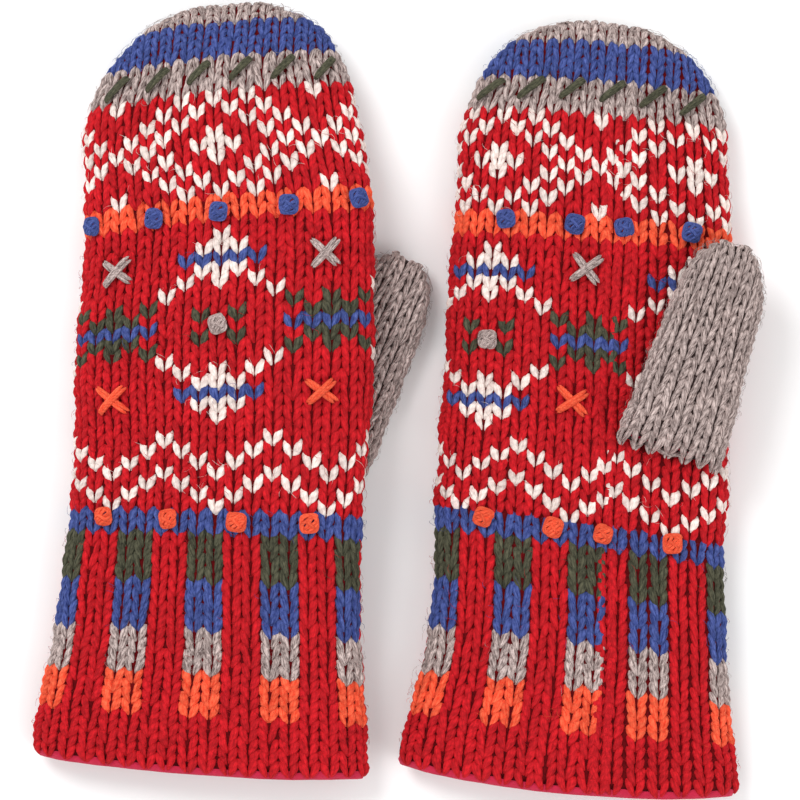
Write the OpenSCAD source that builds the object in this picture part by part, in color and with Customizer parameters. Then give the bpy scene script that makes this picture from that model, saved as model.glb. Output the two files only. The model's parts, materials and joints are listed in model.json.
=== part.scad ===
// A pair of fleece-lined, hand-knitted wool mittens lying flat.
// +Z is up, the fingertips point to +Y, the left-hand mitten lies at -X with
// the back of the hand up, and the right-hand mitten lies at +X, palm up.
// Every mitten is a knitted shell in three lengths (hand, knuckle, fingers), a
// fleece lining in the same three lengths, a thumb with its own lining, a ring
// of picked-up stitches round the thumb hole, a sewn seam, and embroidery.

/* [Mittens] */
// Width across the open cuff
cuff_w = 120; // [112:1:126]
// Width across the hand
hand_w = 104; // [98:1:108]
// Thickness of a mitten lying flat, at the hand
hand_t = 24; // [22:1:27]
// Thickness of the knitted shell
shell_t = 2.6; // [2.2:0.1:3]
// Thickness of the fleece lining
fleece_t = 1.4; // [1.2:0.1:1.8]

/* [Thumbs] */
// Width of a thumb
thumb_w = 39.4; // [36:0.2:41]
// Length of a thumb from its root edge to its tip
thumb_len = 76; // [70:1:80]
// Thickness of a thumb lying flat
thumb_t = 14.4; // [14:0.1:14.6]
// Radius of the hole that the thumb is picked up round
hole_r = 11; // [10:0.2:12]

/* [Folds] */
// Length of the soft knuckle zone that bends
knuckle_len = 24; // [22:1:26]

/* [Embroidery] */
// Diameter of a wool knot
knot_d = 7.6; // [6:0.2:8.4]
// Length of one arm of a sewn cross
cross_len = 13; // [10:0.5:15]
// Length of one slanted stitch round the fingertips
whip_len = 11.5; // [9:0.5:13]
// Height of the sewn yarn above the knitting
yarn_h = 2; // [1.5:0.1:2.4]

/* [Hidden] */
MITTENS = ["left", "right"];
PIECES = [
    "hand_shell", "knuckle_shell", "finger_shell", "thumb_shell", "thumb_ring",
    "hand_lining", "knuckle_lining", "finger_lining", "thumb_lining",
    "hand_seam", "finger_seam", "tip_whip_stitches", "blue_knots",
    "orange_knots", "grey_knots", "grey_crosses", "orange_crosses"
];

red = "#C8161C";
crimson = "#B01030";
heather = "#9C8C86";
blue = "#33459B";
orange = "#F84A22";
green = "#363E2E";

ring_n = 32;
thumb_n = 20;
gap = 0.2;
lining_in = shell_t + gap;
cavity_in = lining_in + fleece_t;
body_gap = 0.4;

// Centre of each cuff edge on the table, and the length of the mitten
left_cuff = [-69.9, -126];
right_cuff = [58.7, -131.8];
mitten_len = 265;

// A mitten's stations: distance from the cuff edge, sideways drift, turn of
// the knitted rows, half width, thickness, and how far the thumb side is lifted
hw = hand_w / 2;
LEFT = [
    [0, 0.2, -3.8, cuff_w / 2 + 0.5, hand_t - 4, 3],
    [42, 2.8, -3, hw + 3.5, hand_t - 1, 8],
    [84, 5.6, -1.6, hw + 0.3, hand_t, 15],
    [120, 8.3, 1.8, hw + 1.4, hand_t, 15],
    [155, 9.2, 4.2, hw + 1.5, hand_t, 15],
    [192, 10.4, 5.4, hw - 0.4, hand_t, 15],
    [228, 7, 5.8, hw - 2.6, hand_t - 3, 8],
    [265, 9, 5, hw - 4.5, hand_t - 8, 5]
];
RIGHT = [
    [0, 1, -5.2, cuff_w / 2 + 1.8, hand_t - 4, 0],
    [44, 4.4, -7, hw + 2.2, hand_t - 1, 0],
    [88, 5.3, -8, hw + 0.6, hand_t, 0],
    [122, 7.2, -6.3, hw - 0.2, hand_t, 0],
    [156, 8.2, -4.8, hw - 1.3, hand_t, 0],
    [191, 9.9, -4.3, hw - 2, hand_t, 0],
    [226, 10.8, -5, hw - 4, hand_t - 3, 0],
    [265, 13.5, -4.5, hw - 4.5, hand_t - 8, 0]
];

// How far the middle of the cuff edge sags below its two corners
left_hem_sag = 2;
right_hem_sag = 4;
hem_len = 44;

// Where the knuckle zone lies, as distances from the cuff edge
LEFT_KNUCKLE = [198, 198 + knuckle_len];
RIGHT_KNUCKLE = [197, 197 + knuckle_len];

// Each thumb's hinge, where its underside meets the hinge axis, its lean away
// from the hand, and how far it droops over the edge of the palm it lies on
left_thumb_at = [-24.4, -10, 0];
left_thumb_lean = 25;
right_thumb_at = [96.5, -9, hand_t - 0.2];
right_thumb_lean = 18;
right_thumb_droop = 5;
thumb_root = 10;

function side(m) = m == "left" ? LEFT : RIGHT;
function cuff_at(m) = m == "left" ? left_cuff : right_cuff;
function knuckle(m) = m == "left" ? LEFT_KNUCKLE : RIGHT_KNUCKLE;
function thumb_at(m) = m == "left" ? left_thumb_at : right_thumb_at;
function thumb_lean(m) = m == "left" ? left_thumb_lean : right_thumb_lean;
function thumb_droop(m) = m == "left" ? 0 : right_thumb_droop;

// Smooth curve through four values
function smooth4(a, b, c, d, u) = 0.5 * (2 * b + (c - a) * u
    + (2 * a - 5 * b + 4 * c - d) * u * u + (3 * b - a - 3 * c + d) * u * u * u);

// The mitten's numbers at a distance y from the cuff edge
function below(T, y, i = 0) = i >= len(T) - 2 || T[i + 1][0] > y ? i : below(T, y, i + 1);
function station(T, y) =
    let (n = len(T) - 1, i = below(T, y), u = (y - T[i][0]) / (T[i + 1][0] - T[i][0]))
    smooth4(T[max(i - 1, 0)], T[i], T[i + 1], T[min(i + 2, n)], u);

// A rounded end: 0 at the tip and 1 from len_in on; full sets how square it is
function round_end(d, len_in, full) =
    d >= len_in ? 1 : d <= 0 ? 0 : pow(1 - pow(1 - d / len_in, 2), 1 / full);
tip_len = 45;
tip_thin = 17;
tip_full = 2.9;

// Cross-section of a flat-lying tube: rounded sides, soft top, flat underside
flat = 0.8;
side_pow = 4;
top_pow = 2.4;
function bulge(c) = pow(max(0, 1 - pow(min(1, abs(c)), side_pow)), 1 / top_pow);
function section(a, top, bottom, n) = [for (i = [0:n - 1])
    let (c = cos(360 * i / n), up = sign(sin(360 * i / n)))
    [a * c, max(top * up * bulge(c), -bottom)]];

// The thumb side of a mitten that lies on its own thumb is lifted
lift_from = -45;
lift_span = 57;
function ease(v) = let (w = min(1, max(0, v))) w * w * (3 - 2 * w);
function lift(x, h) = h * ease((x - lift_from) / lift_span);

function half_t(s) = s[4] / (1 + flat);
function hem_sag(m) = m == "left" ? left_hem_sag : right_hem_sag;
function hem(m, share, y) =
    -hem_sag(m) * (1 - share * share) * pow(min(1, max(0, 1 - y / hem_len)), 2);
function ring(m, y, inset) =
    let (s = station(side(m), y), d = mitten_len - inset - y)
    let (wide = round_end(d, tip_len, tip_full), thick = round_end(d, tip_thin, 2))
    let (b = half_t(s), at = cuff_at(m))
    [for (p = section((s[3] - inset) * wide, (b - inset) * thick,
                      (flat * b - inset) * thick, ring_n))
        [at[0] + s[1] + p[0] * cos(s[2]),
         at[1] + y + p[0] * sin(s[2]) + hem(m, min(1, abs(p[0] / s[3])), y),
         flat * b + p[1] + lift(p[0], s[5])]];

// Faces between stacked rings, and over one ring
function wall(first, rows, n) = [for (r = [0:rows - 2], i = [0:n - 1])
    let (a = first + r * n + i, b = first + r * n + (i + 1) % n)
    each [[a, b, b + n], [a, b + n, a + n]]];
function turned(faces) = [for (f = faces) [f[2], f[1], f[0]]];
function lid(first, n) = [for (i = [1:n - 2]) [first, first + i + 1, first + i]];
function rim(a, b, n) = [for (i = [0:n - 1])
    let (j = (i + 1) % n) each [[a + i, b + j, a + j], [a + i, b + i, b + j]]];

// A sleeve open at both ends, or a pouch closed at the far end
module sleeve(outer, inner, n, closed) {
    rows = len(outer);
    half = rows * n;
    last = half - n;
    faces = concat(
        wall(0, rows, n), turned(wall(half, rows, n)), rim(0, half, n),
        closed ? concat(turned(lid(last, n)), lid(half + last, n))
            : turned(rim(last, half + last, n))
    );
    polyhedron(points = [for (r = outer, p = r) p, for (r = inner, p = r) p], faces = faces);
}

// Ring distances: even along a sleeve, closing up towards a tip
function steps(a, b, n) = [for (i = [0:n]) a + (b - a) * i / n];
function tip_steps(a, b, n) = [for (i = [0:n]) a + (b - a) * sin(90 * i / n)];

module length_of(m, from, to, out, in, n) {
    sleeve([for (y = steps(from, to, n)) ring(m, y, out)],
           [for (y = steps(from, to, n)) ring(m, y, in)], ring_n, false);
}
module tip_of(m, from, out, in, n) {
    end = mitten_len - 0.3;
    sleeve([for (y = tip_steps(from, end - out, n)) ring(m, y, out)],
           [for (y = tip_steps(from, end - in, n)) ring(m, y, in)], ring_n, true);
}

// Thumb: a flat pouch about its hinge, leaning away from the hand, that narrows
// from its root to its tip
thumb_tip_len = 20;
thumb_root_len = 9;
root_wide = 1.03;
tip_wide = 0.74;
function taper(v) = root_wide + (tip_wide - root_wide) * (v + thumb_root) / thumb_len;
function thumb_ring_at(m, v, inset) =
    let (root = v + thumb_root - inset, tip = thumb_len - thumb_root - inset - v)
    let (r = round_end(root, thumb_root_len, 4), t = round_end(tip, thumb_tip_len, 2.8))
    let (rz = round_end(root, 6, 2.4), tz = round_end(tip, 9, 2.2))
    let (b = thumb_t / (1 + flat), k = -thumb_lean(m))
    [for (p = section((thumb_w / 2 * taper(v) - inset) * r * t, (b - inset) * rz * tz,
                      (flat * b - inset) * rz * tz, thumb_n))
        drooped(m, [p[0] * cos(k) - v * sin(k), p[0] * sin(k) + v * cos(k),
                    flat * b + p[1]])];
function drooped(m, p) =
    let (k = thumb_droop(m))
    thumb_at(m) + [p[0] * cos(k) + p[2] * sin(k), p[1], p[2] * cos(k) - p[0] * sin(k)];
function thumb_steps(inset) =
    let (a = 0.3 + inset - thumb_root, b = thumb_len - thumb_root - 0.3 - inset)
    [a, a + 1.2, a + 3.5, a + 8, for (i = [0:7]) a + 8 + (b - a - 8) * sin(90 * (i + 1) / 8)];
module thumb_pouch(m, out, in) {
    n = thumb_n;
    outer = [for (v = thumb_steps(out)) thumb_ring_at(m, v, out)];
    inner = [for (v = thumb_steps(in)) thumb_ring_at(m, v, in)];
    difference() {
        pouch_solid(outer, n);
        pouch_solid(inner, n);
        thumb_hole(m);
    }
}
module pouch_solid(rings, n) {
    faces = concat(wall(0, len(rings), n), lid(0, n), turned(lid((len(rings) - 1) * n, n)));
    polyhedron(points = [for (r = rings, p = r) p], faces = faces);
}

// The hole goes through the palm wall, the thumb wall and both linings
// along the thumb's hinge axis, from the middle of one cavity to the other
function hole_low(m) = m == "left" ? thumb_t / 2 : -hand_t / 2;
function hole_high(m) = m == "left" ? thumb_t + hand_t / 2 : thumb_t / 2;
module on_hinge(m, from) {
    translate(thumb_at(m)) rotate([0, thumb_droop(m), 0]) translate([0, 0, from]) children();
}
module thumb_hole(m) {
    on_hinge(m, hole_low(m)) cylinder(r = hole_r, h = hole_high(m) - hole_low(m), $fn = 64);
}

module hand_shell(m) {
    color(red) difference() {
        length_of(m, 0, knuckle(m)[0], 0, shell_t, 16);
        thumb_hole(m);
    }
}
module knuckle_shell(m) {
    color(red) length_of(m, knuckle(m)[0], knuckle(m)[1] - body_gap, 0, shell_t, 3);
}
module finger_shell(m) {
    color(heather) tip_of(m, knuckle(m)[1], 0, shell_t, 12);
}
module thumb_shell(m) {
    color(heather) thumb_pouch(m, 0, shell_t);
}
module hand_lining(m) {
    color(crimson) difference() {
        length_of(m, -1.5, knuckle(m)[0], lining_in, cavity_in, 16);
        thumb_hole(m);
    }
}
module knuckle_lining(m) {
    color(crimson)
        length_of(m, knuckle(m)[0], knuckle(m)[1] - body_gap, lining_in, cavity_in, 3);
}
module finger_lining(m) {
    color(crimson) tip_of(m, knuckle(m)[1], lining_in, cavity_in, 12);
}
module thumb_lining(m) {
    color(crimson) thumb_pouch(m, lining_in, cavity_in);
}

// Ring of picked-up stitches that joins the thumb to the palm
ring_t = 1.2;
ring_h = 9.6;
module thumb_ring(m) {
    middle = m == "left" ? thumb_t + body_gap / 2 : -1;
    color(heather) on_hinge(m, middle - ring_h / 2) difference() {
        cylinder(r = hole_r - gap, h = ring_h, $fn = 64);
        translate([0, 0, -1]) cylinder(r = hole_r - gap - ring_t, h = ring_h + 2, $fn = 64);
    }
}

// Height of the upper surface, and of the underside, at x across the mitten
function upper(m, y, x) =
    let (s = station(side(m), y), b = half_t(s), d = mitten_len - y)
    let (a = s[3] * round_end(d, tip_len, tip_full), thick = round_end(d, tip_thin, 2))
    flat * b + lift(x, s[5]) + b * thick * bulge(x / a);
function under(m, y, x) = lift(x, station(side(m), y)[5]);
function slope(m, y, x) = atan(upper(m, y, x + 0.5) - upper(m, y, x - 0.5));
function climb(m, y, x) = atan(upper(m, y + 0.5, x) - upper(m, y - 0.5, x));
// Walks a distance u over the upper surface from the middle
function across(m, y, u, x = 0, n = 0) =
    n >= 20 ? x : across(m, y, u, x + u / 20 * cos(slope(m, y, x)), n + 1);

// Sews children on the upper surface, a distance u from the middle
sew_gap = 0.4;
module sewn(m, y, u) {
    s = station(side(m), y);
    x = across(m, y, u);
    at = cuff_at(m);
    translate([at[0] + s[1] + x * cos(s[2]), at[1] + y + x * sin(s[2]), upper(m, y, x)])
        rotate([0, 0, s[2]]) rotate([climb(m, y, x), -slope(m, y, x), 0])
            translate([0, 0, sew_gap]) children();
}

// Rows are counted up from the wrist, and stitches from the middle of a face.
// The knitting is a little looser in the tip than in the hand
stitch_w = 5.95;
wrist_row = -2.5;
loose_from = 27.5;
function wrist_y(m) = m == "left" ? 78.4 : 80.2;
function hand_row(m) = m == "left" ? 3.86 : 3.82;
function tip_row(m) = m == "left" ? 4.15 : 4.05;
function row_y(m, r) = wrist_y(m) + (min(r, loose_from) - wrist_row) * hand_row(m)
    + max(0, r - loose_from) * tip_row(m);

module knot() {
    cylinder(d = knot_d, h = yarn_h, $fn = 24);
}
module cross() {
    for (k = [-45, 45]) rotate([0, 0, k]) translate([-cross_len / 2, -1, 0])
        cube([cross_len, 2, yarn_h - 0.4]);
}
module whip() {
    rotate([0, 0, 42]) translate([-whip_len / 2, -1.25, 0]) cube([whip_len, 2.5, yarn_h]);
}

// Sews children at every [stitch from the middle, row from the wrist] of a list
module sewn_at(m, places) {
    for (p = places) sewn(m, row_y(m, p[1]), p[0] * stitch_w) children();
}
// Evenly spaced stitches along one row. The palm's seam takes one stitch up
seam_at = 1.5;
function along_row(first, every, count, row, taken = 0) =
    [for (i = [0:count - 1])
        let (u = first + i * every) [u > seam_at ? u - taken : u, row]];
// The two places either side of the left mitten's grey knot
either_side = 6.4;
function beside(row) = [for (k = [-1, 1]) [-0.5 + k * either_side, row]];
// A row of slanted stitches hangs a little at its ends
whip_bow = 0.6;
function bowed(places) = [for (p = places) [p[0], p[1] - whip_bow * pow(p[0] / 6, 2)]];
module blue_knots(m) {
    color(blue) sewn_at(m, m == "left" ? along_row(-8.6, 4.1, 5, 26.8)
                                       : along_row(-5.2, 4, 4, 27, 1.1)) knot();
}
module orange_knots(m) {
    color(orange) sewn_at(m, m == "left" ? along_row(-6.9, 4.2, 4, -0.9)
                                         : along_row(-5.8, 4.1, 4, -0.9, 1.1)) knot();
}
module grey_knots(m) {
    color(heather) sewn_at(m, [m == "left" ? [-0.2, 16.7] : [-6, 15.8]]) knot();
}
module grey_crosses(m) {
    color(heather) sewn_at(m, m == "left" ? beside(22.3) : [[-0.4, 23]]) cross();
}
module orange_crosses(m) {
    color(orange) sewn_at(m, m == "left" ? beside(10.3) : [[-0.9, 10.8]]) cross();
}
module tip_whip_stitches(m) {
    color(green) sewn_at(m, bowed(m == "left" ? along_row(-6.2, 2.5, 6, 38.8)
                                              : along_row(-6.4, 2.4, 6, 38.8))) whip();
}

// A sewn seam runs up the palm, a little to the thumb side of the middle
seam_x = seam_at * stitch_w;
seam_w = 1.8;
seam_h = 0.6;
module seam(m, from, to, n) {
    face = m == "left" ? -1 : 1;
    low = [for (y = steps(from, to, n)) seam_points(m, y, face, sew_gap)];
    high = [for (y = steps(from, to, n)) seam_points(m, y, face, sew_gap + seam_h)];
    rings = [for (i = [0:n]) concat(low[i], [high[i][1], high[i][0]])];
    points = [for (r = rings, p = r) p];
    faces = concat(wall(0, n + 1, 4), lid(0, 4), turned(lid(n * 4, 4)));
    polyhedron(points = points, faces = face > 0 ? faces : turned(faces));
}
function seam_points(m, y, face, off) =
    let (s = station(side(m), y), at = cuff_at(m))
    [for (x = [seam_x - seam_w / 2, seam_x + seam_w / 2])
        let (z = face > 0 ? upper(m, y, seam_x) : under(m, y, seam_x))
        [at[0] + s[1] + x * cos(s[2]), at[1] + y + x * sin(s[2]) + hem(m, x / s[3], y),
         z + face * off]];
// The seam passes under a knot at the wrist and one at the knuckles, and stops
// short of the stitches round the fingertips, so it is drawn in stretches
module hand_seam(m) {
    wrist = row_y(m, -0.9);
    band = row_y(m, 27);
    room = knot_d / 2 + 1;
    color(crimson) {
        seam(m, 2, wrist - room, 10);
        seam(m, wrist + room, band - room, 14);
    }
}
module finger_seam(m) {
    color(crimson) seam(m, knuckle(m)[1] + 0.2, row_y(m, 38.2) - whip_len / 2, 5);
}

hand_shell("left");  // left_hand_shell
knuckle_shell("left");  // left_knuckle_shell
finger_shell("left");  // left_finger_shell
thumb_shell("left");  // left_thumb_shell
thumb_ring("left");  // left_thumb_ring
hand_lining("left");  // left_hand_lining
knuckle_lining("left");  // left_knuckle_lining
finger_lining("left");  // left_finger_lining
thumb_lining("left");  // left_thumb_lining
hand_seam("left");  // left_hand_seam
finger_seam("left");  // left_finger_seam
tip_whip_stitches("left");  // left_tip_whip_stitches
blue_knots("left");  // left_blue_knots
orange_knots("left");  // left_orange_knots
grey_knots("left");  // left_grey_knots
grey_crosses("left");  // left_grey_crosses
orange_crosses("left");  // left_orange_crosses
hand_shell("right");  // right_hand_shell
knuckle_shell("right");  // right_knuckle_shell
finger_shell("right");  // right_finger_shell
thumb_shell("right");  // right_thumb_shell
thumb_ring("right");  // right_thumb_ring
hand_lining("right");  // right_hand_lining
knuckle_lining("right");  // right_knuckle_lining
finger_lining("right");  // right_finger_lining
thumb_lining("right");  // right_thumb_lining
hand_seam("right");  // right_hand_seam
finger_seam("right");  // right_finger_seam
tip_whip_stitches("right");  // right_tip_whip_stitches
blue_knots("right");  // right_blue_knots
orange_knots("right");  // right_orange_knots
grey_knots("right");  // right_grey_knots
grey_crosses("right");  // right_grey_crosses
orange_crosses("right");  // right_orange_crosses
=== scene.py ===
"""A pair of fleece-lined, hand-knitted wool mittens lying flat on a pale floor.

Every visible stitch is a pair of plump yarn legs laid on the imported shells: the
shells are sampled row by row, and the legs, the sewn yarn and the lining are all
placed by row and by stitch on that sampled surface.
"""

import json
import math

import bmesh
import bpy
import numpy as np
from mathutils.bvhtree import BVHTree
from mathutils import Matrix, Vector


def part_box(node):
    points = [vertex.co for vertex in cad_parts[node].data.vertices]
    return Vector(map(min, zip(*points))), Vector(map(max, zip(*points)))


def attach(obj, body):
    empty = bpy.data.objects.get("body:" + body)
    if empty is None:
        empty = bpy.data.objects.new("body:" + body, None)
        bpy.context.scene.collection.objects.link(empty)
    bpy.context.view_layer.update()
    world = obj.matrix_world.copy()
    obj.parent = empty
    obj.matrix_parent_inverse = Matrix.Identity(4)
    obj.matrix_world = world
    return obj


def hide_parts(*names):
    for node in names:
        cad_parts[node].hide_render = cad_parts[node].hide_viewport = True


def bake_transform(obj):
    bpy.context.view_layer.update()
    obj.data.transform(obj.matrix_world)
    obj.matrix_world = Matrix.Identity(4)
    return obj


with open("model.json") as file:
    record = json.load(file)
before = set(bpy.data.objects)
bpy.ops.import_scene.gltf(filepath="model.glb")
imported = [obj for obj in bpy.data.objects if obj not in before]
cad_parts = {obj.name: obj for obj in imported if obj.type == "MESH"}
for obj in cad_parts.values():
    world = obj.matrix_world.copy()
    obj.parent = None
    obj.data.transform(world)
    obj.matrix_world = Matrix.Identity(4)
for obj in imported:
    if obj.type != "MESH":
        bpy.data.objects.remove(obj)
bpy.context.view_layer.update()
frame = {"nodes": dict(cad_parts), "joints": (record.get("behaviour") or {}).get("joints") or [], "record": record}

rng = np.random.default_rng(7)
MM = 0.001

# ---------------------------------------------------------------- camera, light

FRAME_WIDTH = 0.280
LENS = 150.0
SENSOR = 36.0
FABRIC_HEIGHT = 0.020


def make_camera():
    """Looks straight down, far enough away for the pair to fill the frame."""
    data = bpy.data.cameras.new("camera")
    data.lens = LENS
    data.sensor_width = SENSOR
    camera = bpy.data.objects.new("camera", data)
    camera.location = (0.0007, 0.0002, FABRIC_HEIGHT + FRAME_WIDTH * LENS / SENSOR)
    bpy.context.scene.collection.objects.link(camera)
    bpy.context.scene.camera = camera


def make_area_light(name, place, size, power, aim):
    data = bpy.data.lights.new(name, "AREA")
    data.shape = "DISK"
    data.size = size
    data.energy = power
    lamp = bpy.data.objects.new(name, data)
    lamp.location = place
    away = np.array(place) - np.array(aim)
    lamp.rotation_euler = (
        math.atan2(math.hypot(away[0], away[1]), away[2]),
        0.0,
        math.atan2(away[0], -away[1]),
    )
    bpy.context.scene.collection.objects.link(lamp)


make_camera()
make_area_light("key", (-0.5, 0.6, 1.0), 0.6, 8.0, (0.0, 0.0, 0.0))
make_area_light("fill", (0.8, -0.5, 0.9), 0.9, 4.5, (0.0, 0.0, 0.0))
world = bpy.data.worlds.new("studio")
bpy.context.scene.world = world
world.use_nodes = True
world.node_tree.nodes["Background"].inputs["Color"].default_value = (1, 1, 1, 1)
world.node_tree.nodes["Background"].inputs["Strength"].default_value = 0.85

# --------------------------------------------------------------------- materials


def linear(hex_colour):
    """An sRGB hex colour as the linear RGBA that shaders take."""
    parts = [int(hex_colour[i:i + 2], 16) / 255 for i in (1, 3, 5)]
    return [p / 12.92 if p <= 0.04045 else ((p + 0.055) / 1.055) ** 2.4 for p in parts] + [1.0]


def node(tree, kind, settings=(), links=(), **attributes):
    """Adds one node, sets its inputs, and links sockets into it."""
    made = tree.nodes.new(kind)
    for name, value in attributes.items():
        setattr(made, name, value)
    for socket, value in dict(settings).items():
        made.inputs[socket].default_value = value
    for socket, source in dict(links).items():
        tree.links.new(source, made.inputs[socket])
    return made


def wool(name, dark, body, light, contrast=0.3, sheen=0.3):
    """Spun wool: two plies that twist along each leg, with painted shade darkening the grooves between them,
    streaks of fibre, a soft halo.

    The pattern follows the yarn's own UV map, u once round the yarn and v one unit to
    each stitch leg, and every leg has its own tone, so no two stitches match.
    """
    material = bpy.data.materials.new(name)
    material.use_nodes = True
    tree = material.node_tree
    shader = tree.nodes["Principled BSDF"]
    uv = node(tree, "ShaderNodeUVMap", uv_map="yarn")
    tone = node(tree, "ShaderNodeAttribute", attribute_name="tone")
    shift = node(tree, "ShaderNodeVectorMath", {1: (37.0, 11.0, 5.0)}, {0: tone.outputs["Fac"]},
                 operation="MULTIPLY")
    own = node(tree, "ShaderNodeVectorMath", links={0: uv.outputs["UV"], 1: shift.outputs[0]},
               operation="ADD")
    # Fibres are about 0.3 mm across and 2 mm long on a yarn 8 mm round
    stretch = node(tree, "ShaderNodeMapping", {"Scale": (14.0, 3.6, 1.0)},
                   {"Vector": own.outputs[0]})
    fibre = node(tree, "ShaderNodeTexNoise", {"Scale": 1.0, "Detail": 3.0, "Roughness": 0.7},
                 {"Vector": stretch.outputs[0]})
    spread = node(tree, "ShaderNodeMapRange",
                  {"From Min": 0.5 - contrast / 2, "From Max": 0.5 + contrast / 2},
                  {"Value": fibre.outputs["Fac"]})
    blend = node(tree, "ShaderNodeMix", {6: linear(dark), 7: linear(light)},
                 {0: spread.outputs[0]}, data_type="RGBA")
    calm = node(tree, "ShaderNodeMix", {0: 0.35, 7: linear(body)}, {6: blend.outputs[2]},
                data_type="RGBA")
    # Two plies round the yarn and five crossings along a leg; the grooves between the plies darken the base colour
    # as painted shade and also set the bump
    turns = node(tree, "ShaderNodeMapping", {"Scale": (1.2566, 3.1416, 0.0)},
                 {"Vector": uv.outputs["UV"]})
    twist = node(tree, "ShaderNodeTexWave", {"Scale": 1.0, "Distortion": 1.0, "Detail": 1.0},
                 {"Vector": turns.outputs[0]}, bands_direction="DIAGONAL")
    # Painted shade: the base colour is darkened to 0.86 in the grooves between the plies
    ply_groove_shade = node(tree, "ShaderNodeMapRange", {"From Max": 0.5, "To Min": 0.86},
                  {"Value": twist.outputs["Fac"]})
    own_tone = node(tree, "ShaderNodeMapRange", {"To Min": 0.84, "To Max": 1.1},
                    {"Value": tone.outputs["Fac"]})
    shade = node(tree, "ShaderNodeMath", links={0: ply_groove_shade.outputs[0], 1: own_tone.outputs[0]},
                 operation="MULTIPLY")
    tinted = node(tree, "ShaderNodeVectorMath", links={0: calm.outputs[2], 1: shade.outputs[0]},
                  operation="MULTIPLY")
    tree.links.new(tinted.outputs[0], shader.inputs["Base Color"])
    relief = node(tree, "ShaderNodeMath", {1: 1.6},
                  {0: fibre.outputs["Fac"], 2: twist.outputs["Fac"]}, operation="MULTIPLY_ADD")
    bump = node(tree, "ShaderNodeBump", {"Strength": 0.6, "Distance": 0.35 * MM},
                {"Height": relief.outputs[0]})
    tree.links.new(bump.outputs[0], shader.inputs["Normal"])
    shader.inputs["Roughness"].default_value = 0.88
    shader.inputs["Specular IOR Level"].default_value = 0.2
    shader.inputs["Sheen Weight"].default_value = sheen
    shader.inputs["Sheen Roughness"].default_value = 0.5
    shader.inputs["Sheen Tint"].default_value = linear(light)
    return material


def gap_shade_wool(name, colour):
    """Painted shade for the gaps between stitches: a sheet under the knitting, coloured far darker than its yarn
    and mottled towards near-black.
    """
    material = bpy.data.materials.new(name)
    material.use_nodes = True
    tree = material.node_tree
    shader = tree.nodes["Principled BSDF"]
    place = node(tree, "ShaderNodeTexCoord")
    # Painted shade: a mottle that pulls the sheet's colour towards near-black in the gaps between stitches
    shade_mottle = node(tree, "ShaderNodeTexNoise", {"Scale": 900.0, "Detail": 2.0},
                 {"Vector": place.outputs["Object"]})
    shade = node(tree, "ShaderNodeMix", {6: linear(colour), 7: linear("#1A0406")},
                 {0: shade_mottle.outputs["Fac"]}, data_type="RGBA")
    tree.links.new(shade.outputs[2], shader.inputs["Base Color"])
    shader.inputs["Roughness"].default_value = 0.95
    shader.inputs["Specular IOR Level"].default_value = 0.1
    return material


def fleece(name, dark, light):
    """Brushed polyester fleece: a matt, pilled nap with a pale bloom at its edge."""
    material = bpy.data.materials.new(name)
    material.use_nodes = True
    tree = material.node_tree
    shader = tree.nodes["Principled BSDF"]
    place = node(tree, "ShaderNodeTexCoord")
    nap = node(tree, "ShaderNodeTexNoise", {"Scale": 700.0, "Detail": 4.0, "Roughness": 0.7},
               {"Vector": place.outputs["Object"]})
    shade = node(tree, "ShaderNodeMix", {6: linear(dark), 7: linear(light)},
                 {0: nap.outputs["Fac"]}, data_type="RGBA")
    tree.links.new(shade.outputs[2], shader.inputs["Base Color"])
    bump = node(tree, "ShaderNodeBump", {"Strength": 0.8, "Distance": 0.6 * MM},
                {"Height": nap.outputs["Fac"]})
    tree.links.new(bump.outputs[0], shader.inputs["Normal"])
    shader.inputs["Roughness"].default_value = 0.95
    shader.inputs["Sheen Weight"].default_value = 0.6
    shader.inputs["Sheen Tint"].default_value = linear("#FF7A90")
    return material


def painted_floor():
    """Matt white studio board with the faintest mottle."""
    material = bpy.data.materials.new("matt white board")
    material.use_nodes = True
    tree = material.node_tree
    shader = tree.nodes["Principled BSDF"]
    place = node(tree, "ShaderNodeTexCoord")
    mottle = node(tree, "ShaderNodeTexNoise", {"Scale": 6.0}, {"Vector": place.outputs["Object"]})
    shade = node(tree, "ShaderNodeMix", {6: linear("#F4F4F4"), 7: linear("#FAFAFA")},
                 {0: mottle.outputs["Fac"]}, data_type="RGBA")
    tree.links.new(shade.outputs[2], shader.inputs["Base Color"])
    shader.inputs["Roughness"].default_value = 0.9
    return material


YARNS = {
    "red": wool("dyed red wool", "#8A0A14", "#BE0F1A", "#E0202A"),
    "cream": wool("dyed cream wool", "#CDAEA8", "#F3E2DA", "#FFF8F0"),
    "blue": wool("dyed blue wool", "#18245A", "#2B3D80", "#6676B8"),
    "orange": wool("dyed orange wool", "#D8301A", "#F44A2A", "#FF7E58"),
    "green": wool("dyed dark green wool", "#1A1C14", "#36382C", "#6C6A54"),
    "grey": wool("undyed heather wool", "#33211F", "#9A8682", "#F0DCD6", contrast=0.24),
}
YARN_NAMES = list(YARNS)
# Painted shade for the gaps between stitches: sheets far darker than the red and heather yarns above them
RED_GAP_SHADE = gap_shade_wool("painted gap shade under red knitting", "#7A0C12")
GREY_GAP_SHADE = gap_shade_wool("painted gap shade under heather knitting", "#4A3E3C")
LINING = fleece("crimson polyester fleece", "#96082A", "#D41844")

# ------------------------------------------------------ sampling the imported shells

# Rows count up from the cuff edge; the wrist is at CUFF_ROWS, and both tips are
# knitted at even row heights over their rounded ends
CUFF_ROWS = 23
TIP_FROM = CUFF_ROWS + 40
TIP_ROWS = 7
MITTEN_ROWS = TIP_FROM + TIP_ROWS
STITCHES_ROUND = 36
# Distance of the wrist's row from the cuff corners, in mm
WRIST_AT = {"left": 78.4, "right": 80.2}
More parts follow.
